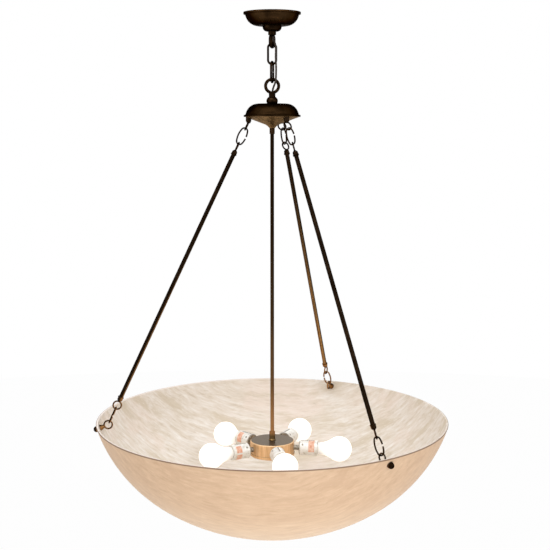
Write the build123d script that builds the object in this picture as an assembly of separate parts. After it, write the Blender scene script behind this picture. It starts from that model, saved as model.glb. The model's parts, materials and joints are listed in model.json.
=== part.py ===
from build123d import *
import math
import os

# Alabaster bowl pendant on a short chain. Millimetres, +Z up. The origin is the centre
# of the ceiling plane that the canopy closes against, so everything hangs below z = 0.
# The front of the pendant faces -Y.

os.makedirs("parts", exist_ok=True)

# ---------------------------------------------------------------- clearances
SEAT = 0.3          # running gap where one link hangs in the next
OPEN_PIVOT = 0.6    # the same gap at the rim eyes, where the three arms close on the bowl
FIT = 0.2           # radial play of a tube, a rod or a thread in its bore
LOOSE = 0.4         # radial play of a bolt in the stone and of a lamp base in its well
WASHER_SEAT = 0.05  # between the edge of a flat washer and the hollow face it sits on

# ---------------------------------------------------------------- canopy and hub dish
DISH_LIP_R = 72.0       # outside of the flared lip
DISH_SHOULDER_R = 67.0  # where the round shoulder meets the flare
DISH_FLAT_R = 36.0      # flat crown
DISH_DEPTH = 33.0
DISH_SHOULDER_DROP = 25.0
DISH_LIP_BAND = 4.5     # upright band of the lip
DISH_SHEET = 1.2

CROSSBAR_LENGTH = 114.0
CROSSBAR_WIDTH = 22.0
CROSSBAR_THICK = 2.5
SLOT_SPACING = 88.9     # between the two ceiling box screws
SLOT_LENGTH = 12.0
SLOT_WIDTH = 4.8

NIPPLE_D = 10.0         # threaded lamp tube
NIPPLE_BORE = 7.0
LOCKNUT_FLATS = 15.0
LOCKNUT_THICK = 3.5

CANOPY_COLLAR_D = 48.0
CANOPY_COLLAR_HEIGHT = 14.0
CANOPY_COLLAR_EDGE = 3.0  # upright edge over its cup
CANOPY_COLLAR_WALL = 1.3  # of the cup at its foot
CANOPY_NECK_D = 20.0    # threaded neck of the loop, inside the collar
CANOPY_NECK_INSIDE = 6.0    # how far that neck stands inside the canopy
CANOPY_LOOP_NECK = 4.0      # from the collar to the top of the loop's eye
CANOPY_LOOP_LENGTH = 38.0
CANOPY_LOOP_WIDTH = 30.0
CANOPY_LOOP_WIRE = 9.0
CANOPY_LOOP_TURN = 66.0     # about the vertical, from the plane of the hub ring
CANOPY_NIPPLE_BITE = 14.0  # nipple thread inside the loop's neck

# ---------------------------------------------------------------- chain and supply cord
CHAIN_LENGTH = 56.0
CHAIN_WIDTH = 26.0
CHAIN_WIRE = 5.5
CHAIN_SEAM = 0.5          # butt gap in one long side
CHAIN_LOWER_TURN = 73.5   # lower link about the vertical, from the plane of the upper one

CORD_D = 5.0
CORD_BORE = 7.4
CORD_POINTS = [
    (0.0, 0.0, -45.0),
    (0.0, 0.0, -60.0),
    (6.6, -4.6, -73.0),
    (9.6, -7.4, -88.0),
    (8.6, -6.6, -111.0),
    (10.2, -6.4, -134.0),
    (9.8, -7.4, -156.0),
    (9.0, -9.2, -171.5),
    (3.2, -3.8, -184.5),
    (0.0, 0.0, -197.0),
    (0.0, 0.0, -207.0),
]
CORD_ARC_SHARE = 0.45     # of the shorter run, taken up by each bend

# ---------------------------------------------------------------- hub
HUB_RING_D = 41.0
HUB_RING_WIRE = 8.0
HUB_NECK_D = 16.5
HUB_NECK_LENGTH = 7.0     # from the ring down to the collar
HUB_COLLAR_D = 29.0       # at its belly
HUB_COLLAR_HEIGHT = 16.5
HUB_COLLAR_BELLY = 9.5    # from its top down to the belly
HUB_COLLAR_TOP_D = 18.0
HUB_COLLAR_FOOT_D = 25.0
HUB_NIPPLE_BITE = 6.0     # nipple thread inside the ring's neck

BASE_SLOPE = 20.5         # of the trumpet cone, degrees from level
BASE_THICK = 2.5
BASE_KNEE_R = 19.0        # where the cone turns down into its spout
BASE_SPOUT_R = 7.5
BASE_SPOUT_DROP = 9.0

EYE_PITCH_R = 60.0        # hub eyes from the axis
PAD_D = 14.0              # cast pad under each hub eye
PAD_BELOW = 7.0
PAD_ABOVE = 5.5
SHANK_D = 5.0
EYE_NUT_FLATS = 8.0
EYE_NUT_THICK = 4.0
SHANK_TAIL = 1.5          # shank that stands past its nut

# ---------------------------------------------------------------- eyes, open links, rods
EYE_D = 25.0
EYE_WIRE = 4.0
SHOULDER_LENGTH = 6.0
SHOULDER_END_D = 8.0
EYE_SINK = 3.0            # top of a hub eye's ring inside its shoulder

LINK_LENGTH = 48.0
LINK_WIDTH = 24.5
LINK_WIRE = 4.0
LINK_END_R = 8.0          # centre line radius of its ends
LINK_GAP = 5.0            # the opening in one long side

ROD_LENGTH = 701.5
ROD_D = 11.0
ROD_WALL = 1.2
ROD_CAP_D = 13.4
ROD_CAP_LENGTH = 9.0
ROD_CAP_BEAD_D = 15.4
ROD_CAP_BEAD_LENGTH = 3.0
ROD_CAP_DOME = 4.5
ROD_CAP_NECK_D = 6.5

ARM_COUNT = 3
ARM_FIRST_AZIMUTH = 186.3
ARM_TURNS = [              # upper link, rod's top end, its foot end, lower link: each about the
    (180.0, 0.0, 0.0, 0.0),     # arm, in degrees from the place where all stand square
    (25.0, 50.0, -38.0, -11.0),
    (-13.0, -20.0, 0.0, 0.0),
]

# ---------------------------------------------------------------- bowl
BOWL_R = 457.2
BOWL_DEPTH = 299.0
BOWL_WALL = 5.0
BOWL_TUCK = 5.63          # how much steeper the rim is than that of a plain spherical cap, degrees
BOWL_FLATNESS = 1.073     # crown radius over the radius of a plain spherical cap
BOWL_RIM_ROUND = 1.2
EYE_BELOW_RIM = 16.0      # bolt hole, along the upright

SHOULDER_D = 15.5         # rim eye where it bears on its washer
RIM_SHOULDER_LENGTH = 11.0
WASHER_D = 17.0
WASHER_THICK = 1.0
KNOB_D = 15.5
KNOB_FLAT = 3.2           # from the knob's centre to its seat
KNOB_BITE = 5.0           # shank thread inside the knob

# ---------------------------------------------------------------- stem and lamp cluster
STEM_LENGTH = 775.0
STEM_D = 9.6
STEM_BORE = 6.8
COUPLING_D = 13.2
COUPLING_LENGTH = 15.0
COUPLING_BITE = 5.0       # stem inside its coupling, and inside its ferrule
FERRULE_D = 15.0
FERRULE_LENGTH = 23.0
FERRULE_FOOT_D = 18.0
FERRULE_FOOT = 3.0

DRUM_R = 57.5
DRUM_HEIGHT = 31.5
DRUM_SHEET = 1.2
DRUM_ROUND = 3.0
COVER_LIP = 8.0
COVER_STEP = 1.2          # lip proud of the drum
CAP_NUT_D = 14.0
CAP_NUT_HEIGHT = 9.0
CAP_NUT_BITE = 4.5        # nipple thread inside the cap nut

LAMP_COUNT = 5
LAMP_FIRST_AZIMUTH = -8.0
SOCKET_DROP = 18.0        # lamp axis under the drum's top
SOCKET_NIPPLE_LENGTH = 14.0
SOCKET_CAP_HUB_D = 13.0
SOCKET_CAP_HUB = 13.8     # from the drum to the flat back of the cap
SOCKET_CAP_CORNER = 2.5
SOCKET_SKIRT = 8.0        # cap wall inside the shell
SOCKET_SHEET = 0.8
SOCKET_SHELL_D = 39.0
SOCKET_SHELL_LENGTH = 46.0
CORE_FLOOR = 9.0
CORE_RECESS = 1.5         # core mouth inside the shell mouth

BULB_D = 65.0
BULB_LENGTH = 115.0
BULB_WALL = 1.0           # glass, and the sheet of its base
BULB_NECK_D = 30.0
BULB_SHOULDER_ANGLE = 35.0  # past the widest circle, where the neck curve starts
BULB_BASE_D = 26.0
BULB_BASE_LENGTH = 27.0
BULB_CONTACT_D = 9.0
BULB_CONTACT = 2.0
BULB_TAPER = 5.0
BULB_BASE_PROUD = 2.5     # base that stands out of the core
BULB_SEAT = 0.5           # contact to the floor of the core

# ---------------------------------------------------------------- heights down the chain
collar_top = -DISH_DEPTH
canopy_neck_top = collar_top + CANOPY_NECK_INSIDE
canopy_nipple_foot = canopy_neck_top - CANOPY_NIPPLE_BITE
collar_foot = collar_top - CANOPY_COLLAR_HEIGHT
loop_top = collar_foot - CANOPY_LOOP_NECK
loop_foot = loop_top - CANOPY_LOOP_LENGTH
upper_link_top = loop_foot + CANOPY_LOOP_WIRE + SEAT + CHAIN_WIRE
upper_link_foot = upper_link_top - CHAIN_LENGTH
lower_link_top = upper_link_foot + 2 * CHAIN_WIRE + SEAT
lower_link_foot = lower_link_top - CHAIN_LENGTH
ring_centre = lower_link_foot + CHAIN_WIRE + SEAT + HUB_RING_WIRE - HUB_RING_D / 2
ring_foot = ring_centre - HUB_RING_D / 2
hub_collar_top = ring_foot - HUB_NECK_LENGTH
dome_top = hub_collar_top - HUB_COLLAR_HEIGHT
dome_foot = dome_top - DISH_DEPTH

# the trumpet cone closes the dome inside its lip, its edge under the ledge of the flare
base_edge_r = DISH_LIP_R - DISH_SHEET - SEAT
base_edge_top = dome_foot + DISH_LIP_BAND - DISH_SHEET - SEAT
base_edge_foot = base_edge_top - BASE_THICK / math.cos(math.radians(BASE_SLOPE))
base_fall = math.tan(math.radians(BASE_SLOPE))
knee_z = base_edge_foot - (base_edge_r - BASE_KNEE_R) * base_fall
spout_foot = knee_z - BASE_SPOUT_DROP
pad_under_cone = base_edge_foot - (base_edge_r - EYE_PITCH_R) * base_fall
pad_foot = pad_under_cone - PAD_BELOW
pad_top = pad_under_cone + PAD_ABOVE
shoulder_foot = pad_foot - SHOULDER_LENGTH
eye_root = shoulder_foot + EYE_SINK

coupling_foot = spout_foot - COUPLING_LENGTH
ferrule_top = coupling_foot - STEM_LENGTH
drum_top = ferrule_top - FERRULE_LENGTH
drum_foot = drum_top - DRUM_HEIGHT
cover_foot = drum_foot - COVER_LIP
lamp_z = drum_top - SOCKET_DROP

# ---------------------------------------------------------------- bowl section
cap_radius = (BOWL_R**2 + BOWL_DEPTH**2) / (2 * BOWL_DEPTH)
crown_r = BOWL_FLATNESS * cap_radius
cap_rim_lean = math.asin((cap_radius - BOWL_DEPTH) / cap_radius)   # from upright
lean = cap_rim_lean - math.radians(BOWL_TUCK)
wall_r = (2 * crown_r * BOWL_DEPTH - BOWL_DEPTH**2 - BOWL_R**2) / (
    2 * (crown_r - BOWL_R * math.cos(lean) - (crown_r - BOWL_DEPTH) * math.sin(lean))
)
crown_centre = crown_r - BOWL_DEPTH               # height above the rim plane, on the axis
wall_centre = (BOWL_R - wall_r * math.cos(lean), wall_r * math.sin(lean))
join_angle = math.atan2(wall_centre[0], crown_centre - wall_centre[1])

# bolt line: square to the wall, EYE_BELOW_RIM under the rim plane
bolt_drop = (wall_centre[1] + EYE_BELOW_RIM) / wall_r
bolt_angle = math.asin(bolt_drop)                 # inward and up from level, radians
bolt_r = wall_centre[0] + wall_r * math.cos(bolt_angle)
washer_lift = WASHER_D**2 / 8 / (wall_r - BOWL_WALL) + WASHER_SEAT
shoulder_start = BOWL_WALL + washer_lift + WASHER_THICK
rim_eye_in = shoulder_start + RIM_SHOULDER_LENGTH + (EYE_D - EYE_WIRE) / 2
rim_eye_r = bolt_r - rim_eye_in * math.cos(bolt_angle)
rim_eye_above_rim = rim_eye_in * math.sin(bolt_angle) - EYE_BELOW_RIM

# ---------------------------------------------------------------- places down an arm
# distances from the middle of the hub eye, along the straight line to the rim eye
eye_mid = (EYE_D - EYE_WIRE) / 2
link_pitch = LINK_LENGTH - LINK_WIRE
hang = (EYE_WIRE + LINK_WIRE) / 2 + SEAT
upper_link_mid = eye_mid - hang + link_pitch / 2
top_eye_mid = upper_link_mid + link_pitch / 2 - hang + eye_mid
rod_top = top_eye_mid + eye_mid + ROD_CAP_DOME
rod_foot = rod_top + ROD_LENGTH
foot_eye_mid = rod_foot + ROD_CAP_DOME + eye_mid
lower_link_mid = foot_eye_mid + eye_mid - hang + link_pitch / 2
rim_eye_mid = lower_link_mid + link_pitch / 2 - (hang - SEAT + OPEN_PIVOT) + eye_mid

# the line starts at the root of the hub eye and ends in the rim eye
arm_length = rim_eye_mid + eye_mid
arm_lean = math.asin((rim_eye_r - EYE_PITCH_R) / arm_length)
hub_eye_r = EYE_PITCH_R + eye_mid * math.sin(arm_lean)
hub_eye_z = eye_root - eye_mid * math.cos(arm_lean)
rim_z = eye_root - arm_length * math.cos(arm_lean) - rim_eye_above_rim

ARM_AZIMUTHS = [ARM_FIRST_AZIMUTH + 360 / ARM_COUNT * n for n in range(ARM_COUNT)]
LAMP_AZIMUTHS = [LAMP_FIRST_AZIMUTH - 360 / LAMP_COUNT * n for n in range(LAMP_COUNT)]


# ---------------------------------------------------------------- shared forms
def turned(*edges):
    """A turned piece from the edges of its half section, x outward and y up."""
    return revolve(Plane.XZ * make_face(list(edges)), Axis.Z)


def outline(*points):
    """A turned piece with straight flanks."""
    return revolve(Plane.XZ * make_face(Polyline(*points, close=True)), Axis.Z)


def tube(outer, bore, top, foot):
    """An upright tube between two heights."""
    length = top - foot
    middle = Pos(0, 0, (top + foot) / 2)
    return middle * (Cylinder(outer / 2, length) - Cylinder(bore / 2, length))


def rod(diameter, top, foot):
    return Pos(0, 0, (top + foot) / 2) * Cylinder(diameter / 2, top - foot)


def hex_nut(flats, bore, top, foot):
    """A plain hexagon nut with a clear bore."""
    across_corners = flats / math.cos(math.radians(30))
    blank = extrude(RegularPolygon(across_corners / 2, 6), top - foot)
    return Pos(0, 0, foot) * blank - rod(bore, top, foot)


def upright_ring(outside, wire):
    """A round ring standing in the XZ plane, centred on the origin."""
    return Rot(90, 0, 0) * Torus((outside - wire) / 2, wire / 2)


def wire_along(path, diameter):
    section = Plane(origin=path @ 0, z_dir=path % 0) * Circle(diameter / 2)
    return sweep(section, path=path)


def chain_link():
    """A long link in the XZ plane with round ends and a butt seam in one side."""
    side = (CHAIN_WIDTH - CHAIN_WIRE) / 2
    straight = (CHAIN_LENGTH - CHAIN_WIRE) / 2 - side
    seam = CHAIN_SEAM / 2
    flat = Plane.XZ
    path = Wire([
        flat * Line((side, seam), (side, straight)),
        flat * CenterArc((0, straight), side, 0, 180),
        flat * Line((-side, straight), (-side, -straight)),
        flat * CenterArc((0, -straight), side, 180, 180),
        flat * Line((side, -straight), (side, -seam)),
    ])
    return wire_along(path, CHAIN_WIRE)


def open_link():
    """An oval link in the XZ plane, of two end arcs and two side arcs, left open at +X."""
    half = (LINK_LENGTH - LINK_WIRE) / 2
    side = (LINK_WIDTH - LINK_WIRE) / 2
    end = half - LINK_END_R
    side_r = (side**2 + end**2 - LINK_END_R**2) / (2 * (side - LINK_END_R))
    offset = side_r - side
    tilt = math.degrees(math.atan2(end, offset))
    gap = math.degrees(LINK_GAP / 2 / side_r)
    flat = Plane.XZ
    path = Wire([
        flat * CenterArc((-offset, 0), side_r, gap, tilt - gap),
        flat * CenterArc((0, end), LINK_END_R, tilt, 180 - 2 * tilt),
        flat * CenterArc((offset, 0), side_r, 180 - tilt, 2 * tilt),
        flat * CenterArc((0, -end), LINK_END_R, 180 + tilt, 180 - 2 * tilt),
        flat * CenterArc((-offset, 0), side_r, -tilt, tilt - gap),
    ])
    return wire_along(path, LINK_WIRE)


def dish_area(inset):
    """Half section of the space under the dish, crown at y = 0, inset by the sheet."""
    crown = Line((0, -inset), (DISH_FLAT_R, -inset))
    shoulder_end = (DISH_SHOULDER_R - inset, -DISH_SHOULDER_DROP)
    shoulder = TangentArc(crown @ 1, shoulder_end, tangent=crown % 1)
    flare_end = (DISH_LIP_R - inset, DISH_LIP_BAND - DISH_DEPTH - inset)
    flare = TangentArc(shoulder @ 1, flare_end, tangent=shoulder % 1)
    band = Line(flare @ 1, (DISH_LIP_R - inset, -DISH_DEPTH))
    mouth = Line(band @ 1, (0, -DISH_DEPTH))
    axis = Line(mouth @ 1, crown @ 0)
    return make_face([crown, shoulder, flare, band, mouth, axis])


def dish(hole_d):
    """The spun dish that serves as canopy and, the other way up, as hub dome."""
    shell = revolve(Plane.XZ * (dish_area(0) - dish_area(DISH_SHEET)), Axis.Z)
    return shell - rod(hole_d, 0, -DISH_SHEET)


def around(shape, azimuths):
    """Copies of a shape, built in the XZ plane towards +X, at several azimuths."""
    return Compound(children=[Rot(0, 0, azimuth) * shape for azimuth in azimuths])


# ---------------------------------------------------------------- canopy
def make_canopy():
    hung = Pos(0, 0, -DISH_DEPTH) * Rot(180, 0, 0)
    return hung * dish(CANOPY_NECK_D + 2 * FIT)


def make_crossbar():
    bar = extrude(SlotOverall(CROSSBAR_LENGTH, CROSSBAR_WIDTH), -CROSSBAR_THICK)
    for x in (-SLOT_SPACING / 2, SLOT_SPACING / 2):
        slot = SlotOverall(SLOT_LENGTH, SLOT_WIDTH)
        bar -= Pos(x, 0, 0) * extrude(slot, -CROSSBAR_THICK)
    return bar - rod(NIPPLE_D + 2 * FIT, 0, -CROSSBAR_THICK)


def make_canopy_nipple():
    return tube(NIPPLE_D, NIPPLE_BORE, 0, canopy_nipple_foot)


def make_canopy_locknut():
    top = -CROSSBAR_THICK
    return hex_nut(LOCKNUT_FLATS, NIPPLE_D + 2 * FIT, top, top - LOCKNUT_THICK)


def make_canopy_collar():
    """Screw collar that holds the canopy up: a flat seat over a rounded cup."""
    r = CANOPY_COLLAR_D / 2
    foot_r = CANOPY_NECK_D / 2 + FIT + CANOPY_COLLAR_WALL
    seat = Line((0, 0), (r, 0))
    edge = Line(seat @ 1, (r, -CANOPY_COLLAR_EDGE))
    cup = TangentArc(edge @ 1, (foot_r, -CANOPY_COLLAR_HEIGHT), tangent=edge % 1)
    foot = Line(cup @ 1, (0, -CANOPY_COLLAR_HEIGHT))
    axis = Line(foot @ 1, seat @ 0)
    blank = Pos(0, 0, collar_top) * turned(seat, edge, cup, foot, axis)
    return blank - rod(CANOPY_NECK_D + 2 * FIT, collar_top, collar_foot)


def make_canopy_loop():
    """Cast loop: hollow threaded neck, then a long eye for the first chain link."""
    side = (CANOPY_LOOP_WIDTH - CANOPY_LOOP_WIRE) / 2
    straight = (CANOPY_LOOP_LENGTH - CANOPY_LOOP_WIRE) / 2 - side
    flat = Plane.XZ
    half = Wire([
        flat * Line((side, 0), (side, straight)),
        flat * CenterArc((0, straight), side, 0, 180),
        flat * Line((-side, straight), (-side, 0)),
    ])
    upper = wire_along(half, CANOPY_LOOP_WIRE)
    eye = upper + Rot(180, 0, 0) * upper
    eye_centre = (loop_top + loop_foot) / 2
    eye = Pos(0, 0, eye_centre) * Rot(0, 0, CANOPY_LOOP_TURN) * eye
    body = eye + rod(CANOPY_NECK_D, canopy_neck_top, loop_top - CANOPY_LOOP_WIRE / 2)
    body -= rod(NIPPLE_D + 2 * FIT, canopy_neck_top, canopy_nipple_foot - FIT)
    return body - rod(CORD_BORE, canopy_neck_top, eye_centre)


# ---------------------------------------------------------------- chain and cord
def make_chain_links():
    upper = Pos(0, 0, (upper_link_top + upper_link_foot) / 2) * chain_link()
    turned_link = Rot(0, 0, CHAIN_LOWER_TURN) * chain_link()
    lower = Pos(0, 0, (lower_link_top + lower_link_foot) / 2) * turned_link
    return upper, lower


def bend_radii(points):
    """The largest even bend at each corner of a route: a share of its shorter run."""
    radii = []
    for before, corner, after in zip(points, points[1:], points[2:]):
        run_in = Vector(corner) - Vector(before)
        run_out = Vector(after) - Vector(corner)
        half_turn = math.radians(run_in.get_angle(run_out) / 2)
        shorter = min(run_in.length, run_out.length)
        radii.append(CORD_ARC_SHARE * shorter / math.tan(half_turn))
    return radii


def make_supply_cord():
    """The cord from the canopy's neck, down beside the chain, into the hub's neck. Each
    chain link carries its own stretch, so the tube is cut at the middle of each link."""
    radii = bend_radii(CORD_POINTS)
    route = FilletPolyline(*CORD_POINTS, radius=radii)
    cord = wire_along(route, CORD_D)
    print("cord bend radii:", [round(r, 1) for r in radii])
    print("cord length:", round(route.length, 1))
    expected = math.pi * CORD_D**2 / 4 * route.length
    print("cord volume over section times length:", round(cord.volume / expected, 4))
    first_cut = (upper_link_top + upper_link_foot) / 2
    second_cut = (lower_link_top + lower_link_foot) / 2
    upper = split(cord, Plane.XY.offset(first_cut), keep=Keep.TOP)
    rest = split(cord, Plane.XY.offset(first_cut), keep=Keep.BOTTOM)
    middle = split(rest, Plane.XY.offset(second_cut), keep=Keep.TOP)
    lower = split(rest, Plane.XY.offset(second_cut), keep=Keep.BOTTOM)
    return upper, middle, lower


# ---------------------------------------------------------------- hub
def make_hub_loop():
    """Cast ring on a hollow neck, facing front."""
    ring = Pos(0, 0, ring_centre) * upright_ring(HUB_RING_D, HUB_RING_WIRE)
    neck = rod(HUB_NECK_D, ring_foot + HUB_RING_WIRE / 2, hub_collar_top)
    body = ring + neck
    body -= rod(NIPPLE_D + 2 * FIT, hub_collar_top + HUB_NIPPLE_BITE + FIT, hub_collar_top)
    return body - rod(CORD_BORE, ring_centre, hub_collar_top)


def make_hub_collar():
    """Turned bead between the ring and the dome, fullest below its middle."""
    top = Line((0, 0), (HUB_COLLAR_TOP_D / 2, 0))
    belly = (HUB_COLLAR_D / 2, -HUB_COLLAR_BELLY)
    bead = ThreePointArc(top @ 1, belly, (HUB_COLLAR_FOOT_D / 2, -HUB_COLLAR_HEIGHT))
    foot = Line(bead @ 1, (0, -HUB_COLLAR_HEIGHT))
    axis = Line(foot @ 1, top @ 0)
    blank = Pos(0, 0, hub_collar_top) * turned(top, bead, foot, axis)
    return blank - rod(NIPPLE_D + 2 * FIT, hub_collar_top, dome_top)


def make_hub_dome():
    return Pos(0, 0, dome_top) * dish(NIPPLE_D + 2 * FIT)


def base_area(thickness):
    """Half section of the space over the trumpet cone, less the cone's thickness."""
    rise = thickness / math.cos(math.radians(BASE_SLOPE))
    over = base_edge_top + BASE_THICK
    cone = Line((base_edge_r, base_edge_foot + rise), (BASE_KNEE_R, knee_z + rise))
    spout_end = (BASE_SPOUT_R - thickness, spout_foot)
    spout = TangentArc(cone @ 1, spout_end, tangent=cone % 1)
    foot = Line(spout @ 1, (0, spout_foot))
    axis = Line(foot @ 1, (0, over))
    top = Line(axis @ 1, (base_edge_r, over))
    edge = Line(top @ 1, cone @ 0)
    return make_face([cone, spout, foot, axis, top, edge])


def make_hub_base():
    """Trumpet cone that closes the dome, cast with three pads for the eyes."""
    cone = revolve(Plane.XZ * (base_area(0) - base_area(BASE_THICK)), Axis.Z)
    pad = Pos(EYE_PITCH_R, 0, 0) * rod(PAD_D, pad_top, pad_foot)
    body = cone + [Rot(0, 0, azimuth) * pad for azimuth in ARM_AZIMUTHS]
    hole = Pos(EYE_PITCH_R, 0, 0) * rod(SHANK_D + 2 * FIT, pad_top, pad_foot)
    body -= [Rot(0, 0, azimuth) * hole for azimuth in ARM_AZIMUTHS]
    return body - rod(NIPPLE_D + 2 * FIT, base_edge_top, spout_foot)


def make_hub_nipple():
    foot = spout_foot - COUPLING_LENGTH + COUPLING_BITE + SEAT
    return tube(NIPPLE_D, NIPPLE_BORE, hub_collar_top + HUB_NIPPLE_BITE, foot)


def make_hub_locknut():
    top = dome_top - DISH_SHEET
    return hex_nut(LOCKNUT_FLATS, NIPPLE_D + 2 * FIT, top, top - LOCKNUT_THICK)


def make_hub_eyes():
    """Shouldered eye bolts: the shoulder hangs plumb and the eye leans along its arm."""
    shoulder = outline(
        (0, pad_foot), (PAD_D / 2, pad_foot), (SHOULDER_END_D / 2, shoulder_foot), (0, shoulder_foot)
    )
    shank = rod(SHANK_D, pad_top + EYE_NUT_THICK + SHANK_TAIL, pad_foot)
    ring = Rot(0, 0, 90) * upright_ring(EYE_D, EYE_WIRE)
    leaned = Pos(0, 0, eye_root) * Rot(0, -math.degrees(arm_lean), 0) * Pos(0, 0, -eye_mid) * ring
    eye = Pos(EYE_PITCH_R, 0, 0) * (shoulder + shank + leaned)
    return around(eye, ARM_AZIMUTHS)


def make_hub_eye_nuts():
    nut = hex_nut(EYE_NUT_FLATS, SHANK_D + 2 * FIT, pad_top + EYE_NUT_THICK, pad_top)
    return around(Pos(EYE_PITCH_R, 0, 0) * nut, ARM_AZIMUTHS)


# ---------------------------------------------------------------- arms
def arm_place(azimuth, distance):
    """A place on an arm: local Z up the arm, local X outward, local Y round the bowl."""
    at_hub = Pos(hub_eye_r, 0, hub_eye_z) * Rot(0, -math.degrees(arm_lean), 0)
    return Rot(0, 0, azimuth) * at_hub * Pos(0, 0, -distance)


def rod_end():
    """Turned cap over the end of a rod, with its neck and eye. The rod ends at z = 0."""
    cap_r = ROD_CAP_D / 2
    bead_r = ROD_CAP_BEAD_D / 2
    neck_r = ROD_CAP_NECK_D / 2
    cap = outline(
        (0, -ROD_CAP_LENGTH),
        (bead_r, -ROD_CAP_LENGTH),
        (bead_r, ROD_CAP_BEAD_LENGTH - ROD_CAP_LENGTH),
        (cap_r, ROD_CAP_BEAD_LENGTH - ROD_CAP_LENGTH),
        (cap_r, 0),
        (neck_r, ROD_CAP_DOME),
        (0, ROD_CAP_DOME),
    )
    eye = Pos(0, 0, ROD_CAP_DOME + eye_mid) * upright_ring(EYE_D, EYE_WIRE)
    bore = rod(ROD_D + 2 * FIT, 0, -ROD_CAP_LENGTH)
    return cap + eye - bore


def make_arm(azimuth, turns):
    """One arm from the hub eye down: open link, rod with its two ends, open link."""
    quarter = Rot(0, 0, 90)
    link_turn, top_turn, foot_turn, lower_turn = [Rot(0, 0, turn) for turn in turns]
    upper_link = arm_place(azimuth, upper_link_mid) * link_turn * open_link()
    bar = tube(ROD_D, ROD_D - 2 * ROD_WALL, -FIT, FIT - ROD_LENGTH)
    bar = arm_place(azimuth, rod_top) * bar
    top_end = arm_place(azimuth, rod_top) * top_turn * quarter * rod_end()
    foot_end = arm_place(azimuth, rod_foot) * foot_turn * Rot(180, 0, 0) * rod_end()
    lower_link = arm_place(azimuth, lower_link_mid) * lower_turn * quarter * open_link()
    return upper_link, bar, Compound(children=[top_end, foot_end]), lower_link


# ---------------------------------------------------------------- bowl
def bowl_area(inset):
    """Half section inside the bowl's surface: crown arc and wall arc, rim at y = 0."""
    inner_crown = crown_r - inset
    inner_wall = wall_r - inset
    join = (inner_crown * math.sin(join_angle), crown_centre - inner_crown * math.cos(join_angle))
    half_join = (
        inner_crown * math.sin(join_angle / 2),
        crown_centre - inner_crown * math.cos(join_angle / 2),
    )
    rim_angle = math.acos(wall_centre[1] / inner_wall)
    rim = (wall_centre[0] + inner_wall * math.sin(rim_angle), 0)
    mid_angle = (join_angle + rim_angle) / 2
    half_wall = (
        wall_centre[0] + inner_wall * math.sin(mid_angle),
        wall_centre[1] - inner_wall * math.cos(mid_angle),
    )
    crown = ThreePointArc((0, crown_centre - inner_crown), half_join, join)
    wall = ThreePointArc(join, half_wall, rim)
    mouth = Line(rim, (0, 0))
    axis = Line((0, 0), crown @ 0)
    return make_face([crown, wall, mouth, axis])


def bolt_place(azimuth, inward):
    """A place on a rim bolt's line: local Z inward along the bolt, 0 at the outer face."""
    tilt = Rot(0, math.degrees(bolt_angle) - 90, 0)
    return Rot(0, 0, azimuth) * Pos(bolt_r, 0, rim_z - EYE_BELOW_RIM) * tilt * Pos(0, 0, inward)


def make_bowl():
    """Turned stone bowl with a rounded rim and three bolt holes."""
    shell = revolve(Plane.XZ * (bowl_area(0) - bowl_area(BOWL_WALL)), Axis.Z)
    rim_edges = shell.edges().filter_by(GeomType.CIRCLE).group_by(Axis.Z)[-1]
    shell = Pos(0, 0, rim_z) * fillet(rim_edges, BOWL_RIM_ROUND)
    hole = rod(SHANK_D + 2 * LOOSE, 2 * BOWL_WALL, -BOWL_WALL)
    return shell - [bolt_place(azimuth, 0) * hole for azimuth in ARM_AZIMUTHS]


def make_rim_fittings():
    """Eye bolt inside the bowl, a washer on each face of the stone, a knob outside."""
    shoulder_end = shoulder_start + RIM_SHOULDER_LENGTH
    shoulder = outline(
        (0, shoulder_start), (SHOULDER_D / 2, shoulder_start),
        (SHOULDER_END_D / 2, shoulder_end), (0, shoulder_end),
    )
    knob_seat = -WASHER_THICK
    shank = rod(SHANK_D, shoulder_start, knob_seat - KNOB_BITE)
    ring = Pos(0, 0, shoulder_end + eye_mid) * upright_ring(EYE_D, EYE_WIRE)
    eye = shoulder + shank + ring
    washer = tube(WASHER_D, SHANK_D + 2 * FIT, shoulder_start, shoulder_start - WASHER_THICK)
    outer_washer = tube(WASHER_D, SHANK_D + 2 * FIT, 0, -WASHER_THICK)
    ball = Pos(0, 0, knob_seat - KNOB_FLAT) * Sphere(KNOB_D / 2)
    knob = ball - Pos(0, 0, knob_seat + KNOB_D / 2) * Box(2 * KNOB_D, 2 * KNOB_D, KNOB_D)
    knob -= rod(SHANK_D + 2 * FIT, knob_seat, knob_seat - KNOB_BITE - FIT)
    places = [bolt_place(azimuth, 0) for azimuth in ARM_AZIMUTHS]
    eyes = Compound(children=[place * eye for place in places])
    inner = Compound(children=[place * washer for place in places])
    outer = Compound(children=[place * outer_washer for place in places])
    knobs = Compound(children=[place * knob for place in places])
    return eyes, inner, outer, knobs


# ---------------------------------------------------------------- stem and cluster
def make_stem_coupling():
    body = rod(COUPLING_D, spout_foot, coupling_foot)
    body -= rod(NIPPLE_D + 2 * FIT, spout_foot, coupling_foot + COUPLING_BITE)
    return body - rod(STEM_D + 2 * FIT, coupling_foot + COUPLING_BITE, coupling_foot)


def make_stem():
    top = coupling_foot + COUPLING_BITE
    return tube(STEM_D, STEM_BORE, top, ferrule_top - COUPLING_BITE)


def make_stem_ferrule():
    """Turned ferrule that joins the stem to the drum, with a small foot."""
    r = FERRULE_D / 2
    foot_r = FERRULE_FOOT_D / 2
    blank = outline(
        (0, ferrule_top), (r, ferrule_top), (r, drum_top + FERRULE_FOOT),
        (foot_r, drum_top + FERRULE_FOOT / 2), (foot_r, drum_top), (0, drum_top),
    )
    split_z = ferrule_top - COUPLING_BITE
    blank -= rod(STEM_D + 2 * FIT, ferrule_top, split_z)
    return blank - rod(NIPPLE_D + 2 * FIT, split_z, drum_top)


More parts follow.
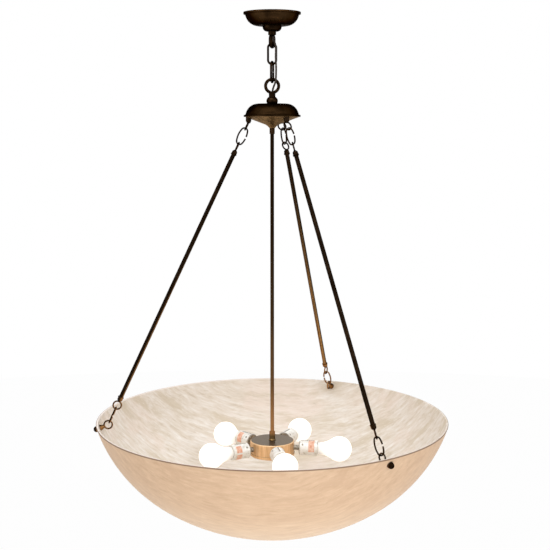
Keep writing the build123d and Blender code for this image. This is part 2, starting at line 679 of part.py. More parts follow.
def make_cluster_nipple():
    top = ferrule_top - COUPLING_BITE - SEAT
    return tube(NIPPLE_D, NIPPLE_BORE, top, cover_foot - CAP_NUT_BITE)


def make_cluster_nuts():
    """Locknuts inside the drum: one under its top, one on the cover."""
    under_top = drum_top - DRUM_SHEET
    on_cover = cover_foot + DRUM_SHEET
    bore = NIPPLE_D + 2 * FIT
    upper = hex_nut(LOCKNUT_FLATS, bore, under_top, under_top - LOCKNUT_THICK)
    lower = hex_nut(LOCKNUT_FLATS, bore, on_cover + LOCKNUT_THICK, on_cover)
    return Compound(children=[upper, lower])


def make_cluster_drum():
    """Spun drum, open below, with a hole for each lamp holder's nipple."""
    can = rod(2 * DRUM_R, drum_top, drum_foot)
    can = fillet(can.edges().group_by(Axis.Z)[-1], DRUM_ROUND)
    inside = rod(2 * (DRUM_R - DRUM_SHEET), drum_top - DRUM_SHEET, drum_foot)
    inside = fillet(inside.edges().group_by(Axis.Z)[-1], DRUM_ROUND - DRUM_SHEET)
    can -= inside
    can -= rod(NIPPLE_D + 2 * FIT, drum_top, drum_top - DRUM_SHEET)
    for azimuth in LAMP_AZIMUTHS:
        can -= lamp_place(azimuth) * rod(NIPPLE_D + 2 * FIT, cap_start, DRUM_R / 2)
    return can


def make_cluster_cover():
    """Pan that closes the drum from below, its lip a little proud of the drum."""
    lip_r = DRUM_R + COVER_STEP
    pan = rod(2 * lip_r, drum_foot, cover_foot)
    pan = fillet(pan.edges().group_by(Axis.Z)[0], DRUM_ROUND)
    pan -= rod(2 * (lip_r - COVER_STEP - DRUM_SHEET), drum_foot, cover_foot + DRUM_SHEET)
    return pan - rod(NIPPLE_D + 2 * FIT, cover_foot + DRUM_SHEET, cover_foot)


def make_cluster_cap_nut():
    """Domed nut that closes the nipple under the cover."""
    r = CAP_NUT_D / 2
    top = Line((0, 0), (r, 0))
    side = Line(top @ 1, (r, r - CAP_NUT_HEIGHT))
    dome = CenterArc((0, r - CAP_NUT_HEIGHT), r, 0, -90)
    axis = Line(dome @ 1, top @ 0)
    blank = Pos(0, 0, cover_foot) * turned(top, side, dome, axis)
    return blank - rod(NIPPLE_D + 2 * FIT, cover_foot, cover_foot - CAP_NUT_BITE - FIT)


# lamp holders are built upright: local Z runs out from the drum's axis
cap_start = DRUM_R + SEAT
cap_back = cap_start + SOCKET_CAP_HUB
shell_start = cap_back + SOCKET_CAP_CORNER
cap_end = shell_start + SOCKET_SKIRT
shell_end = shell_start + SOCKET_SHELL_LENGTH
core_end = shell_end - CORE_RECESS
glass_start = core_end + BULB_BASE_PROUD
base_start = glass_start - BULB_BASE_LENGTH
core_floor = base_start - BULB_SEAT
core_start = core_floor - CORE_FLOOR
globe_centre = base_start + BULB_LENGTH - BULB_D / 2


def lamp_place(azimuth):
    return Rot(0, 0, azimuth) * Pos(0, 0, lamp_z) * Rot(0, 90, 0)


def make_socket_nipple():
    reach = SOCKET_NIPPLE_LENGTH / 2
    return tube(NIPPLE_D, NIPPLE_BORE, cap_start + reach, cap_start - reach)


def socket_cap_area(inset):
    """Half section inside the cap's skin: hub, flat back, rounded corner and skirt."""
    hub_r = SOCKET_CAP_HUB_D / 2 - inset
    skirt_r = SOCKET_SHELL_D / 2 - SOCKET_SHEET - FIT - inset
    corner_r = SOCKET_CAP_CORNER - inset
    axis = Line((0, cap_end), (0, cap_start + inset))
    end = Line(axis @ 1, (hub_r, cap_start + inset))
    hub = Line(end @ 1, (hub_r, cap_back + inset))
    back = Line(hub @ 1, (skirt_r - corner_r, cap_back + inset))
    corner = CenterArc((skirt_r - corner_r, shell_start), corner_r, -90, 90)
    skirt = Line(corner @ 1, (skirt_r, cap_end))
    mouth = Line(skirt @ 1, axis @ 0)
    return make_face([axis, end, hub, back, corner, skirt, mouth])


def make_socket_cap():
    cap = revolve(Plane.XZ * (socket_cap_area(0) - socket_cap_area(SOCKET_SHEET)), Axis.Z)
    return cap - rod(NIPPLE_D + 2 * FIT, cap_end, cap_start)


def make_socket_shell():
    return tube(SOCKET_SHELL_D, SOCKET_SHELL_D - 2 * SOCKET_SHEET, shell_end, shell_start)


def make_socket_core():
    """Insulating core with the threaded well for the lamp base."""
    outer = SOCKET_SHELL_D - 2 * SOCKET_SHEET - 2 * FIT
    core = rod(outer, core_end, core_start)
    return core - rod(BULB_BASE_D + 2 * LOOSE, core_end, core_floor)


def make_bulb_base():
    """Screw base: shell, insulating taper and centre contact."""
    r = BULB_BASE_D / 2
    contact_r = BULB_CONTACT_D / 2
    taper_end = base_start + BULB_CONTACT + BULB_TAPER
    body = outline(
        (0, base_start), (contact_r, base_start), (contact_r, base_start + BULB_CONTACT),
        (r, taper_end), (r, glass_start), (0, glass_start),
    )
    well = rod(BULB_BASE_D - 2 * BULB_WALL, glass_start, taper_end + BULB_WALL)
    return body - well


def bulb_area(inset):
    """Half section inside the glass: a globe that runs into its neck."""
    r = BULB_D / 2 - inset
    past = math.radians(BULB_SHOULDER_ANGLE)
    crown_end = (r * math.cos(past), globe_centre - r * math.sin(past))
    globe = ThreePointArc((0, globe_centre + r), (r, globe_centre), crown_end)
    neck = TangentArc(globe @ 1, (BULB_NECK_D / 2 - inset, glass_start), tangent=globe % 1)
    foot = Line(neck @ 1, (0, glass_start))
    axis = Line(foot @ 1, globe @ 0)
    return make_face([globe, neck, foot, axis])


def make_bulb_glass():
    return revolve(Plane.XZ * (bulb_area(0) - bulb_area(BULB_WALL)), Axis.Z)


# ---------------------------------------------------------------- the whole pendant
def build():
    nodes = {
        "canopy": make_canopy(),
        "crossbar": make_crossbar(),
        "canopy_nipple": make_canopy_nipple(),
        "canopy_locknut": make_canopy_locknut(),
        "canopy_collar": make_canopy_collar(),
        "canopy_loop": make_canopy_loop(),
        "hub_loop": make_hub_loop(),
        "hub_collar": make_hub_collar(),
        "hub_dome": make_hub_dome(),
        "hub_base": make_hub_base(),
        "hub_nipple": make_hub_nipple(),
        "hub_locknut": make_hub_locknut(),
        "hub_eyes": make_hub_eyes(),
        "hub_eye_nuts": make_hub_eye_nuts(),
        "stem_coupling": make_stem_coupling(),
        "stem": make_stem(),
        "stem_ferrule": make_stem_ferrule(),
        "cluster_nipple": make_cluster_nipple(),
        "cluster_nuts": make_cluster_nuts(),
        "cluster_drum": make_cluster_drum(),
        "cluster_cover": make_cluster_cover(),
        "cluster_cap_nut": make_cluster_cap_nut(),
        "bowl": make_bowl(),
    }
    nodes["chain_link_upper"], nodes["chain_link_lower"] = make_chain_links()
    cord = make_supply_cord()
    nodes["supply_cord_upper"], nodes["supply_cord_middle"], nodes["supply_cord_lower"] = cord
    fittings = make_rim_fittings()
    names = ("rim_eyes", "rim_washers_inner", "rim_washers_outer", "rim_knobs")
    nodes.update(zip(names, fittings))

    for number, (azimuth, turns) in enumerate(zip(ARM_AZIMUTHS, ARM_TURNS), 1):
        names = (f"upper_link_{number}", f"rod_{number}", f"rod_ends_{number}", f"lower_link_{number}")
        nodes.update(zip(names, make_arm(azimuth, turns)))

    lamp_places = [lamp_place(azimuth) for azimuth in LAMP_AZIMUTHS]
    holder = {
        "socket_nipples": make_socket_nipple(),
        "socket_caps": make_socket_cap(),
        "socket_shells": make_socket_shell(),
        "socket_cores": make_socket_core(),
    }
    for name, piece in holder.items():
        nodes[name] = Compound(children=[place * piece for place in lamp_places])
    base = make_bulb_base()
    glass = make_bulb_glass()
    for number, place in enumerate(lamp_places, 1):
        nodes[f"bulb_base_{number}"] = place * base
        nodes[f"bulb_glass_{number}"] = place * glass
    return nodes


for name, shape in build().items():
    export_step(shape, f"parts/{name}.step")

print("rim plane:", round(rim_z, 1), " drum top:", round(drum_top, 1))
print("arm lean:", round(math.degrees(arm_lean), 2), " arm length:", round(arm_length, 1))
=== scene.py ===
import json
import math

import bpy
from mathutils import Matrix, Vector


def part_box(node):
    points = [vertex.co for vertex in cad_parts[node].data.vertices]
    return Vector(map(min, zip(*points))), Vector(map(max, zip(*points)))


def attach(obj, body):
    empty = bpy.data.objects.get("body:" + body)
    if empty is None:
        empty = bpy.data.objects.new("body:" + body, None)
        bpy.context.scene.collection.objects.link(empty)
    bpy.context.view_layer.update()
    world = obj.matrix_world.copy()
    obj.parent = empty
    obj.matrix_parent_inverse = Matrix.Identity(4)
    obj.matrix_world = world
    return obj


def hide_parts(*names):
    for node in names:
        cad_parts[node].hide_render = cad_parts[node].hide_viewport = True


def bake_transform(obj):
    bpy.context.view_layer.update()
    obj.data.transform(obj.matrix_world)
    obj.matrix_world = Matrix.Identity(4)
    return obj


# Looks of the alabaster bowl pendant. Metres, +Z up, the front faces -Y, and the origin is
# the centre of the ceiling plane.
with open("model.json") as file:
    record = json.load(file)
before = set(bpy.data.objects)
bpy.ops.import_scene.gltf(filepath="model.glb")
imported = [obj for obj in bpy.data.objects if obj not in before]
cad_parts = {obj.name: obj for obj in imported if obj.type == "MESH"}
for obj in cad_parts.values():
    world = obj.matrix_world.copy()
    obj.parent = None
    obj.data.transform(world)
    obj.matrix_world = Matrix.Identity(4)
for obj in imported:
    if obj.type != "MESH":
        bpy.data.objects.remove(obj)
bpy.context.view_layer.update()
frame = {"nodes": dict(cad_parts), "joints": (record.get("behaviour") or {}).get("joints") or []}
nodes = frame["nodes"]
joints = {joint["name"]: joint for joint in frame["joints"]}

# ---------------------------------------------------------------- places read from the frame
RIM_R, _, RIM_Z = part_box("bowl")[1]
BOWL_FOOT_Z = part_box("bowl")[0].z
SWAY_Z = joints["bowl_sway"]["pos_m"][2]
LAMPS = [joints[f"bulb_{number}_pull"]["axis"] for number in range(1, 6)]
LAMP_Z = sum(corner.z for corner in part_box("bulb_glass_1")) / 2
STEM_TOP_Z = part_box("stem")[1].z
DRUM_TOP_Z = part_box("cluster_drum")[1].z
LINK_MIDDLE_Z = [
    sum(corner.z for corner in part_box(name)) / 2
    for name in ("chain_link_upper", "chain_link_lower")
]
ARM_DIRECTIONS = [
    Vector((*joints[f"arm_{number}_sway"]["pos_m"][:2], 0)).normalized() for number in range(1, 4)
]

# ---------------------------------------------------------------- camera, as the photograph
CAMERA_AT = Vector((-0.0208, -2.782, RIM_Z + 0.742))
CAMERA_TURN = math.radians(0.5774)   # towards +X
CAMERA_DIP = math.radians(7.497)
CAMERA_LENS = 71.23                  # on a sensor 36 mm wide
SENSOR = 36.0

# ---------------------------------------------------------------- supply cord
CORD_D = 0.005
CORD_POINTS = [
    (0.0, 0.0, -0.045),
    (0.0, 0.0, -0.060),
    (0.0066, -0.0046, -0.073),
    (0.0096, -0.0074, -0.088),
    (0.0086, -0.0066, -0.111),
    (0.0102, -0.0064, -0.134),
    (0.0098, -0.0074, -0.156),
    (0.0090, -0.0092, -0.1715),
    (0.0032, -0.0038, -0.1845),
    (0.0, 0.0, -0.197),
    (0.0, 0.0, -0.207),
]
CORD_STEPS = 16        # steps of its smooth line from one point to the next
CORD_SIDES = 24
CORD_LAY = 0.016       # length of one turn of its two cores
CORD_GROOVE = 0.14     # depth of the valley between them, as a share of the radius

# ---------------------------------------------------------------- cast pads under the hub
PAD_PITCH_R = 0.060    # the pads' own axes from the pendant's
PAD_R = 0.0074

# ---------------------------------------------------------------- lamp holder trim
CAD_REACH = 0.03       # a holder's points lie this near its axis
TRIM_SIDES = 64
BEAD_R = 0.0007        # rolled beads on the shell
BEAD_PLACES = (0.02, 0.86, 0.985)    # along the shell, from the drum outwards
# plain paper labels, in degrees round each shell from its top
LABELS = (
    ((-30, 108),),
    ((130, 190), (205, 250)),
    ((-83, -28), (-160, -97)),
    ((-105, -15),),
    ((-150, -60),),
)
LABEL_PLACE = (0.50, 0.83)
LABEL_PROUD = 0.0003
RIVET_R = 0.0026
RIVET_HEIGHT = 0.0008
RIVET_PLACE = 0.17
RIVET_ANGLES = (50, -50)
RIVET_SIDES = 20
RIVET_ROWS = ((1.0, -0.3), (1.0, 0.35), (0.8, 0.8), (0.4, 1.0))    # shares of radius, height
PATCH_STEP = 5                       # degrees between a patch's rows of points
SEAM_ANGLES = (-5.0, 5.0)            # folded seam along the shell's top
SEAM_HEIGHT = 0.0005
SEAM_PLACE = (0.06, 0.80)
SEAM_STITCHES = 7
SEAM_FILL = 0.78                     # share of the seam that its stitches cover


# ---------------------------------------------------------------- node helpers
def new_material(name):
    """A material with its node tree and its Principled node."""
    material = bpy.data.materials.new(name)
    material.use_nodes = True
    tree = material.node_tree
    return material, tree, tree.nodes["Principled BSDF"]


def add(tree, kind, settings=None, **inputs):
    """A node with its settings and inputs. An input is a value or another node's socket."""
    made = tree.nodes.new("ShaderNode" + kind)
    for key, value in (settings or {}).items():
        setattr(made, key, value)
    for key, value in inputs.items():
        put(tree, made.inputs[key.replace("_", " ")], value)
    return made


def put(tree, socket, value):
    """Gives a socket its value, or links another node's socket to it."""
    if isinstance(value, bpy.types.NodeSocket):
        tree.links.new(value, socket)
    else:
        socket.default_value = value


def place(tree):
    """Position in the frame, which stays with the piece when it moves."""
    return add(tree, "TexCoord").outputs["Object"]


def stretched(tree, vector, scale, turn=(0, 0, 0)):
    """A place turned by Euler degrees and then stretched on each axis."""
    angles = [math.radians(angle) for angle in turn]
    turned = add(tree, "Mapping", {"vector_type": "POINT"}, Vector=vector, Rotation=angles)
    return add(tree, "Mapping", Vector=turned.outputs[0], Scale=scale).outputs[0]


def noise(tree, vector, scale, detail=4.0, roughness=0.55, distortion=0.0):
    """Smooth noise, with as many features in a metre as its scale."""
    made = add(tree, "TexNoise", Vector=vector, Scale=scale, Detail=detail,
               Roughness=roughness, Distortion=distortion)
    return made.outputs["Fac"]


def ranged(tree, value, low, high, to_low=0.0, to_high=1.0):
    """A value mapped smoothly from one range to another."""
    made = add(tree, "MapRange", {"interpolation_type": "SMOOTHSTEP"}, Value=value,
               From_Min=low, From_Max=high, To_Min=to_low, To_Max=to_high)
    return made.outputs["Result"]


def ramp(tree, value, stops):
    """Colours by value, as (position, linear colour) stops."""
    made = add(tree, "ValToRGB", Fac=value)
    elements = made.color_ramp.elements
    while len(elements) < len(stops):
        elements.new(0.5)
    for element, (position, colour) in zip(elements, stops):
        element.position = position
        element.color = (*colour, 1.0)
    return made.outputs["Color"]


def mixed(tree, factor, a, b, blend="MIX"):
    """Two colours mixed. A plain colour is a triple."""
    made = add(tree, "Mix", {"data_type": "RGBA", "blend_type": blend})
    put(tree, made.inputs[0], factor)
    for socket, colour in ((made.inputs[6], a), (made.inputs[7], b)):
        put(tree, socket, colour if isinstance(colour, bpy.types.NodeSocket) else (*colour, 1.0))
    return made.outputs[2]


def maths(tree, operation, a, b=0.0):
    """An operation on two numbers."""
    made = add(tree, "Math", {"operation": operation})
    put(tree, made.inputs[0], a)
    put(tree, made.inputs[1], b)
    return made.outputs[0]


def vectors(tree, operation, a, b=(0, 0, 0)):
    """A vector operation on two places, or on one."""
    made = add(tree, "VectorMath", {"operation": operation})
    put(tree, made.inputs[0], a)
    put(tree, made.inputs[1], b)
    return made.outputs["Value" if operation in ("LENGTH", "DOT_PRODUCT") else "Vector"]


def along(tree, vector, axis):
    """One coordinate of a vector."""
    return add(tree, "SeparateXYZ", Vector=vector).outputs[axis]


def from_axis(tree, vector, centre=(0, 0, 0)):
    """Distance from an upright axis."""
    spoke = vectors(tree, "SUBTRACT", vector, centre)
    return vectors(tree, "LENGTH", vectors(tree, "MULTIPLY", spoke, (1, 1, 0)))


def normal(tree):
    return add(tree, "NewGeometry").outputs["Normal"]


def towards(tree, at, point):
    """How squarely a surface faces a point of the frame, from -1 to 1."""
    ray = vectors(tree, "NORMALIZE", vectors(tree, "SUBTRACT", point, at))
    return vectors(tree, "DOT_PRODUCT", ray, normal(tree))


def bump(tree, shader, height, distance, strength=1.0):
    """Fine relief, its depth in metres."""
    made = add(tree, "Bump", Height=height, Distance=distance, Strength=strength)
    tree.links.new(made.outputs["Normal"], shader.inputs["Normal"])


def metal(tree, shader, colour, roughness, metallic, sheen_tint=(1, 1, 1), level=0.5):
    """Sets a metal's inputs. The tint colours its reflection where it is seen edge on."""
    put(tree, shader.inputs["Base Color"], colour)
    put(tree, shader.inputs["Roughness"], roughness)
    shader.inputs["Metallic"].default_value = metallic
    shader.inputs["Specular Tint"].default_value = (*sheen_tint, 1.0)
    shader.inputs["Specular IOR Level"].default_value = level


# ---------------------------------------------------------------- materials
DARK_EDGE = (0.10, 0.065, 0.04)      # edge reflection of the dark bronze finishes
LAMP_LIGHT_Z = (-0.33, LAMP_Z + 0.10)    # painted lamp light: none above the first height, full below the second
HUB_EDGE_R = (0.0675, 0.0692)        # between these radii the hub's cone turns pale
PAD_EDGE = 0.0008                    # width over which a pad's bronze ends
NECK_R = (0.120, 0.150)              # between these radii a lamp's light grows to full
LAMP_GLOW = 0.6


def painted_lamp_light(tree, at, low, high):
    """Painted lamp light: where a surface faces the lamps, low down near them."""
    facing = ranged(tree, towards(tree, at, (0, 0, LAMP_Z)), low, high)
    depth = ranged(tree, along(tree, at, 2), LAMP_LIGHT_Z[1], LAMP_LIGHT_Z[0], 1.0, 0.0)
    return maths(tree, "MULTIPLY", facing, depth)


def make_bronze():
    """Oil rubbed bronze: nearly black brown, mottled, rubbed lighter in spots."""
    material, tree, shader = new_material("oil_rubbed_bronze")
    at = place(tree)
    cloud = noise(tree, at, 60.0, 5.0, 0.6)
    grain = noise(tree, at, 620.0, 3.0, 0.6)
    tone = ramp(tree, cloud, [(0.32, (0.0075, 0.0038, 0.0018)), (0.52, (0.015, 0.0078, 0.0036)),
                              (0.70, (0.036, 0.0190, 0.0088))])
    rubbed = ranged(tree, maths(tree, "MULTIPLY", cloud, grain), 0.31, 0.44, 0.0, 0.5)
    tone = mixed(tree, rubbed, tone, (0.080, 0.042, 0.018))
    # painted lamp light: golden where the bronze faces the lamps, low down
    lamp_lit_gold = mixed(tree, cloud, (0.11, 0.050, 0.016), (0.56, 0.285, 0.110))
    tone = mixed(tree, maths(tree, "MULTIPLY", painted_lamp_light(tree, at, -0.30, 0.45), 0.9), tone, lamp_lit_gold)
    metal(tree, shader, tone, ranged(tree, grain, 0.3, 0.7, 0.32, 0.50), 1.0, DARK_EDGE)
    bump(tree, shader, grain, 0.00012, 0.5)
    return material


def make_spun_bronze(name, depth):
    """The same finish on a spun dish, with fine lathe rings. A depth over 1 darkens the whole copy
    as painted shade.
    """
    material, tree, shader = new_material(name)
    at = place(tree)
    cloud = noise(tree, at, 34.0, 5.0, 0.62)
    grain = noise(tree, at, 460.0, 3.0, 0.6)
    section = add(tree, "CombineXYZ", X=from_axis(tree, at), Y=along(tree, at, 2)).outputs[0]
    rings = noise(tree, section, 900.0, 2.0, 0.5)
    tone = ramp(tree, cloud, [(0.30, (0.0200, 0.0100, 0.0040)), (0.50, (0.034, 0.0172, 0.0066)),
                              (0.72, (0.058, 0.0300, 0.0120))])
    tone = mixed(tree, ranged(tree, rings, 0.56, 0.74, 0.0, 0.4), tone, (0.070, 0.038, 0.017))
    # painted shade: a depth over 1 darkens this copy of the finish
    tone = mixed(tree, 1.0, tone, (1 / depth, 1 / depth, 1 / depth), "MULTIPLY")
    metal(tree, shader, tone, ranged(tree, cloud, 0.3, 0.7, 0.34, 0.48), 1.0, DARK_EDGE)
    bump(tree, shader, mixed(tree, 0.5, rings, grain), 0.00013, 0.5)
    return material


def make_rod_bronze():
    """Drawn tube in dark bronze: streaks along the tube, which points at the sway centre."""
    material, tree, shader = new_material("rod_bronze")
    at = place(tree)
    ray = vectors(tree, "NORMALIZE", vectors(tree, "SUBTRACT", at, (0, 0, SWAY_Z)))
    streak = noise(tree, ray, 420.0, 3.0, 0.6)
    cloud = noise(tree, at, 18.0, 5.0, 0.62)
    grain = noise(tree, at, 480.0, 2.0, 0.6)
    tone = ramp(tree, mixed(tree, 0.45, cloud, streak), [
        (0.34, (0.0050, 0.0026, 0.0013)), (0.52, (0.0115, 0.0062, 0.0032)),
        (0.70, (0.034, 0.0190, 0.0100))])
    # painted lamp light: golden where a rod faces the lamps, low down
    lamp_lit_gold = ramp(tree, streak, [(0.38, (0.10, 0.048, 0.016)), (0.62, (0.48, 0.265, 0.105))])
    tone = mixed(tree, painted_lamp_light(tree, at, 0.15, 0.75), tone, lamp_lit_gold)
    metal(tree, shader, tone, ranged(tree, streak, 0.3, 0.7, 0.28, 0.42), 1.0, DARK_EDGE)
    bump(tree, shader, mixed(tree, 0.5, streak, grain), 0.00005, 0.3)
    return material


def make_stem_bronze():
    """Drawn tube with streaks, its ferrule olive; painted lamp light by height, dark up under the
    hub and golden near the lamps.
    """
    material, tree, shader = new_material("stem_bronze")
    at = place(tree)
    streak = noise(tree, stretched(tree, at, (420, 420, 6)), 1.0, 3.0, 0.6)
    cloud = noise(tree, at, 22.0, 5.0, 0.62)
    # painted lamp light and shade by height: dark at the top under the hub, golden down near the
    # lamps
    height = add(tree, "MapRange", Value=along(tree, at, 2),
                 From_Min=STEM_TOP_Z, From_Max=DRUM_TOP_Z)
    tone = ramp(tree, height.outputs["Result"], [
        (0.0, (0.0095, 0.0048, 0.0020)), (0.30, (0.0130, 0.0068, 0.0028)),
        (0.60, (0.044, 0.0240, 0.0105)), (0.80, (0.150, 0.080, 0.035)),
        (0.95, (0.42, 0.225, 0.098)),
        (0.978, (0.42, 0.225, 0.098)), (0.984, (0.25, 0.165, 0.075))])
    streaks = mixed(tree, streak, (0.28, 0.26, 0.24), (0.78, 0.76, 0.72))
    tone = mixed(tree, 0.6, tone, streaks, "OVERLAY")
    tone = mixed(tree, ranged(tree, cloud, 0.45, 0.75, 0.0, 0.35), tone, (0.030, 0.018, 0.010))
    metal(tree, shader, tone, ranged(tree, streak, 0.3, 0.7, 0.30, 0.44), 1.0, DARK_EDGE)
    bump(tree, shader, streak, 0.00005, 0.3)
    return material


def make_hub_brass():
    """Cast trumpet cone in tan brass with a fine scaly skin, its eye pads dark bronze."""
    material, tree, shader = new_material("hub_brass")
    at = place(tree)
    cloud = noise(tree, at, 60.0, 5.0, 0.6)
    cells = add(tree, "TexVoronoi", {"feature": "SMOOTH_F1"}, Vector=at, Scale=230.0)
    scales = cells.outputs["Distance"]
    tone = ramp(tree, cloud, [(0.34, (0.100, 0.054, 0.020)), (0.50, (0.170, 0.096, 0.038)),
                              (0.68, (0.30, 0.180, 0.080))])
    tone = mixed(tree, ranged(tree, scales, 0.25, 0.70, 0.0, 0.75), tone, (0.045, 0.024, 0.009))
    edge = ranged(tree, from_axis(tree, at), *HUB_EDGE_R)
    tone = mixed(tree, edge, tone, (0.30, 0.18, 0.085))
    for direction in ARM_DIRECTIONS:
        from_pad = from_axis(tree, at, direction * PAD_PITCH_R)
        on_pad = ranged(tree, from_pad, PAD_R, PAD_R + PAD_EDGE, 1.0, 0.0)
        tone = mixed(tree, on_pad, tone, (0.020, 0.0105, 0.0050))
    gloss = ranged(tree, scales, 0.2, 0.8, 0.34, 0.52)
    metal(tree, shader, tone, gloss, 0.75, (0.7, 0.55, 0.4), 0.3)
    bump(tree, shader, scales, 0.00025, 0.7)
    return material


def make_cluster_brass():
    """Golden brass of the drum: drawn streaks down its side, a dark brown top, a painted highlight
    on its rounded top edge.
    """
    material, tree, shader = new_material("cluster_brass")
    at = place(tree)
    cloud = noise(tree, at, 48.0, 5.0, 0.6)
    speck = noise(tree, at, 330.0, 4.0, 0.65)
    streak = noise(tree, stretched(tree, at, (330, 330, 14)), 1.0, 3.0, 0.6)
    tone = ramp(tree, mixed(tree, 0.6, cloud, streak), [
        (0.34, (0.64, 0.36, 0.165)), (0.50, (0.87, 0.53, 0.27)), (0.68, (0.96, 0.67, 0.40))])
    facing = along(tree, normal(tree), 2)
    dark_top_tone = mixed(tree, ranged(tree, speck, 0.35, 0.65),
                    (0.026, 0.0165, 0.0110), (0.062, 0.042, 0.028))
    tone = mixed(tree, ranged(tree, facing, 0.80, 0.97), tone, dark_top_tone)
    # painted highlight: a bright band where the top rounds over into the side
    edge = maths(tree, "MULTIPLY",
                 ranged(tree, facing, 0.15, 0.45), ranged(tree, facing, 0.93, 0.75))
    tone = mixed(tree, maths(tree, "MULTIPLY", edge, 0.6), tone, (0.92, 0.66, 0.40))
    gloss = ranged(tree, speck, 0.3, 0.7, 0.30, 0.46)
    metal(tree, shader, tone, gloss, 0.4, (0.9, 0.75, 0.55), 0.4)
    bump(tree, shader, mixed(tree, 0.5, streak, speck), 0.00008, 0.4)
    return material


# the stone's beds: how they are turned, from facing front and back, and the scales along
# the three axes of their broad bands, streaks and hair lines
INNER_BEDS = ((-30, 0, 4), (4.5, 26.0, 9.0), (15.0, 105.0, 36.0), (34.0, 360.0, 110.0))
OUTER_BEDS = ((30, 0, 5), (6.0, 24.0, 14.0), (20.0, 95.0, 48.0), (50.0, 420.0, 150.0))
BED_WAVE = 0.05                      # how far the beds waver
SHADED_DEPTH = 0.18                  # painted shade: the inside darkens over this depth, up to the rim
PAINTED_LIGHT_DEPTH = 0.08                    # painted light: the outside pales from this far under the rim to its foot
INNER_FOCUS = 0.12                   # the inside faces a point this far over the rim
BRIM_WIDTH = (0.0022, 0.0008)        # outer edge of the rim, in from the bowl's radius
RIM_LINE_BAND = (0.0040, 0.0022)       # dark line under the rim, down from its top
RIM_HIGHLIGHT_BAND = (0.0035, 0.0012)          # painted highlight along the rim's top, down from it
RIM_HIGHLIGHT_FADE_X = (0.0, 0.25)             # the painted highlight fades out between these places along x


def beds(tree, at, turn, *scales):
    """Noise in thin beds: broad bands, streaks and hair lines, all long across the bowl."""
    return [noise(tree, stretched(tree, at, scale, turn), 1.0, detail, 0.6, 0.15)
            for scale, detail in zip(scales, (5.0, 7.0, 5.0))]


